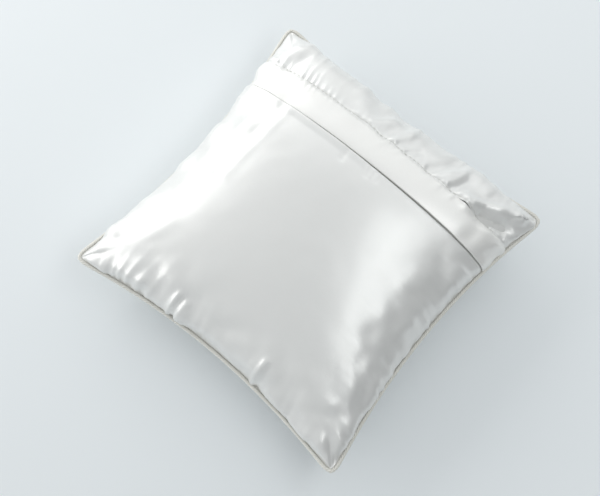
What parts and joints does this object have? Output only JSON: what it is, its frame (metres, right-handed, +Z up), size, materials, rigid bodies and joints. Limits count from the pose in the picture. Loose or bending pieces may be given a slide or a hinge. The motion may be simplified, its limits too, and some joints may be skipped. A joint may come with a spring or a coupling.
{
  "type": "ring bearer pillow",
  "caption": "Square stuffed satin pillow with a corded edge, a lapped zip closure across the back and a ribbon bow on the front for tying wedding rings.",
  "frame": {"origin": "centre of the bounding box's base, on the table under the flattened front", "axes": "+Z up through the back with the closure on top, +X along the closure, +Y towards the edge that the flap is sewn into"},
  "size_m": [0.1982, 0.1983, 0.0643],
  "materials": {
    "satin": "glossy woven satin",
    "lap_satin": "glossy woven satin, double layer",
    "cord": "twisted cord",
    "thread": "sewing thread",
    "tape": "woven tape",
    "nylon": "moulded coil",
    "zip_metal": "polished",
    "cotton": "plain weave",
    "fibre": "loose fibre filling",
    "ribbon": "satin ribbon"
  },
  "bodies": {
    "cover": {"front_panel": "satin", "back_panel": "satin", "back_flap": "satin", "lap_end_left": "lap_satin", "lap_end_right": "lap_satin", "lap_topstitch": "thread", "zip_tape_upper": "tape", "zip_tape_lower": "tape", "zip_coil_upper": "nylon", "zip_coil_lower": "nylon", "zip_bottom_stop": "zip_metal", "zip_top_stop_upper": "zip_metal", "zip_top_stop_lower": "zip_metal", "edge_cord": "cord", "cord_lip": "tape", "insert_cover_back": "cotton", "insert_cover_front": "cotton", "insert_fill": "fibre", "ring_tie_knot": "ribbon", "ring_tie_loop_left": "ribbon", "ring_tie_loop_right": "ribbon", "ring_tie_tail_left": "ribbon", "ring_tie_tail_right": "ribbon"},
    "lap": {"lap": "lap_satin"},
    "slider": {"zip_slider": "zip_metal"},
    "pull_tab": {"zip_pull_tab": "zip_metal"}
  },
  "joints": [
    {"name": "lap_lift", "type": "hinge", "parent": "cover", "child": "lap", "pos_m": [0, 0.0682, 0.05212], "axis": [-1, 0, 0], "range_deg": [0, 75]},
    {"name": "zip_run", "type": "hinge", "parent": "cover", "child": "slider", "pos_m": [0, 0.058, -0.23419], "axis": [0, 1, 0], "range_deg": [-19.8, 0]},
    {"name": "pull_flip", "type": "hinge", "parent": "slider", "child": "pull_tab", "pos_m": [0.04888, 0.05721, 0.04924], "axis": [-0.0566, 0.9446, -0.3234], "range_deg": [0, 30]}
  ],
  "couplings": [
    {"joint": "pull_flip", "follows": "lap_lift", "ratio": 0.4}
  ]
}
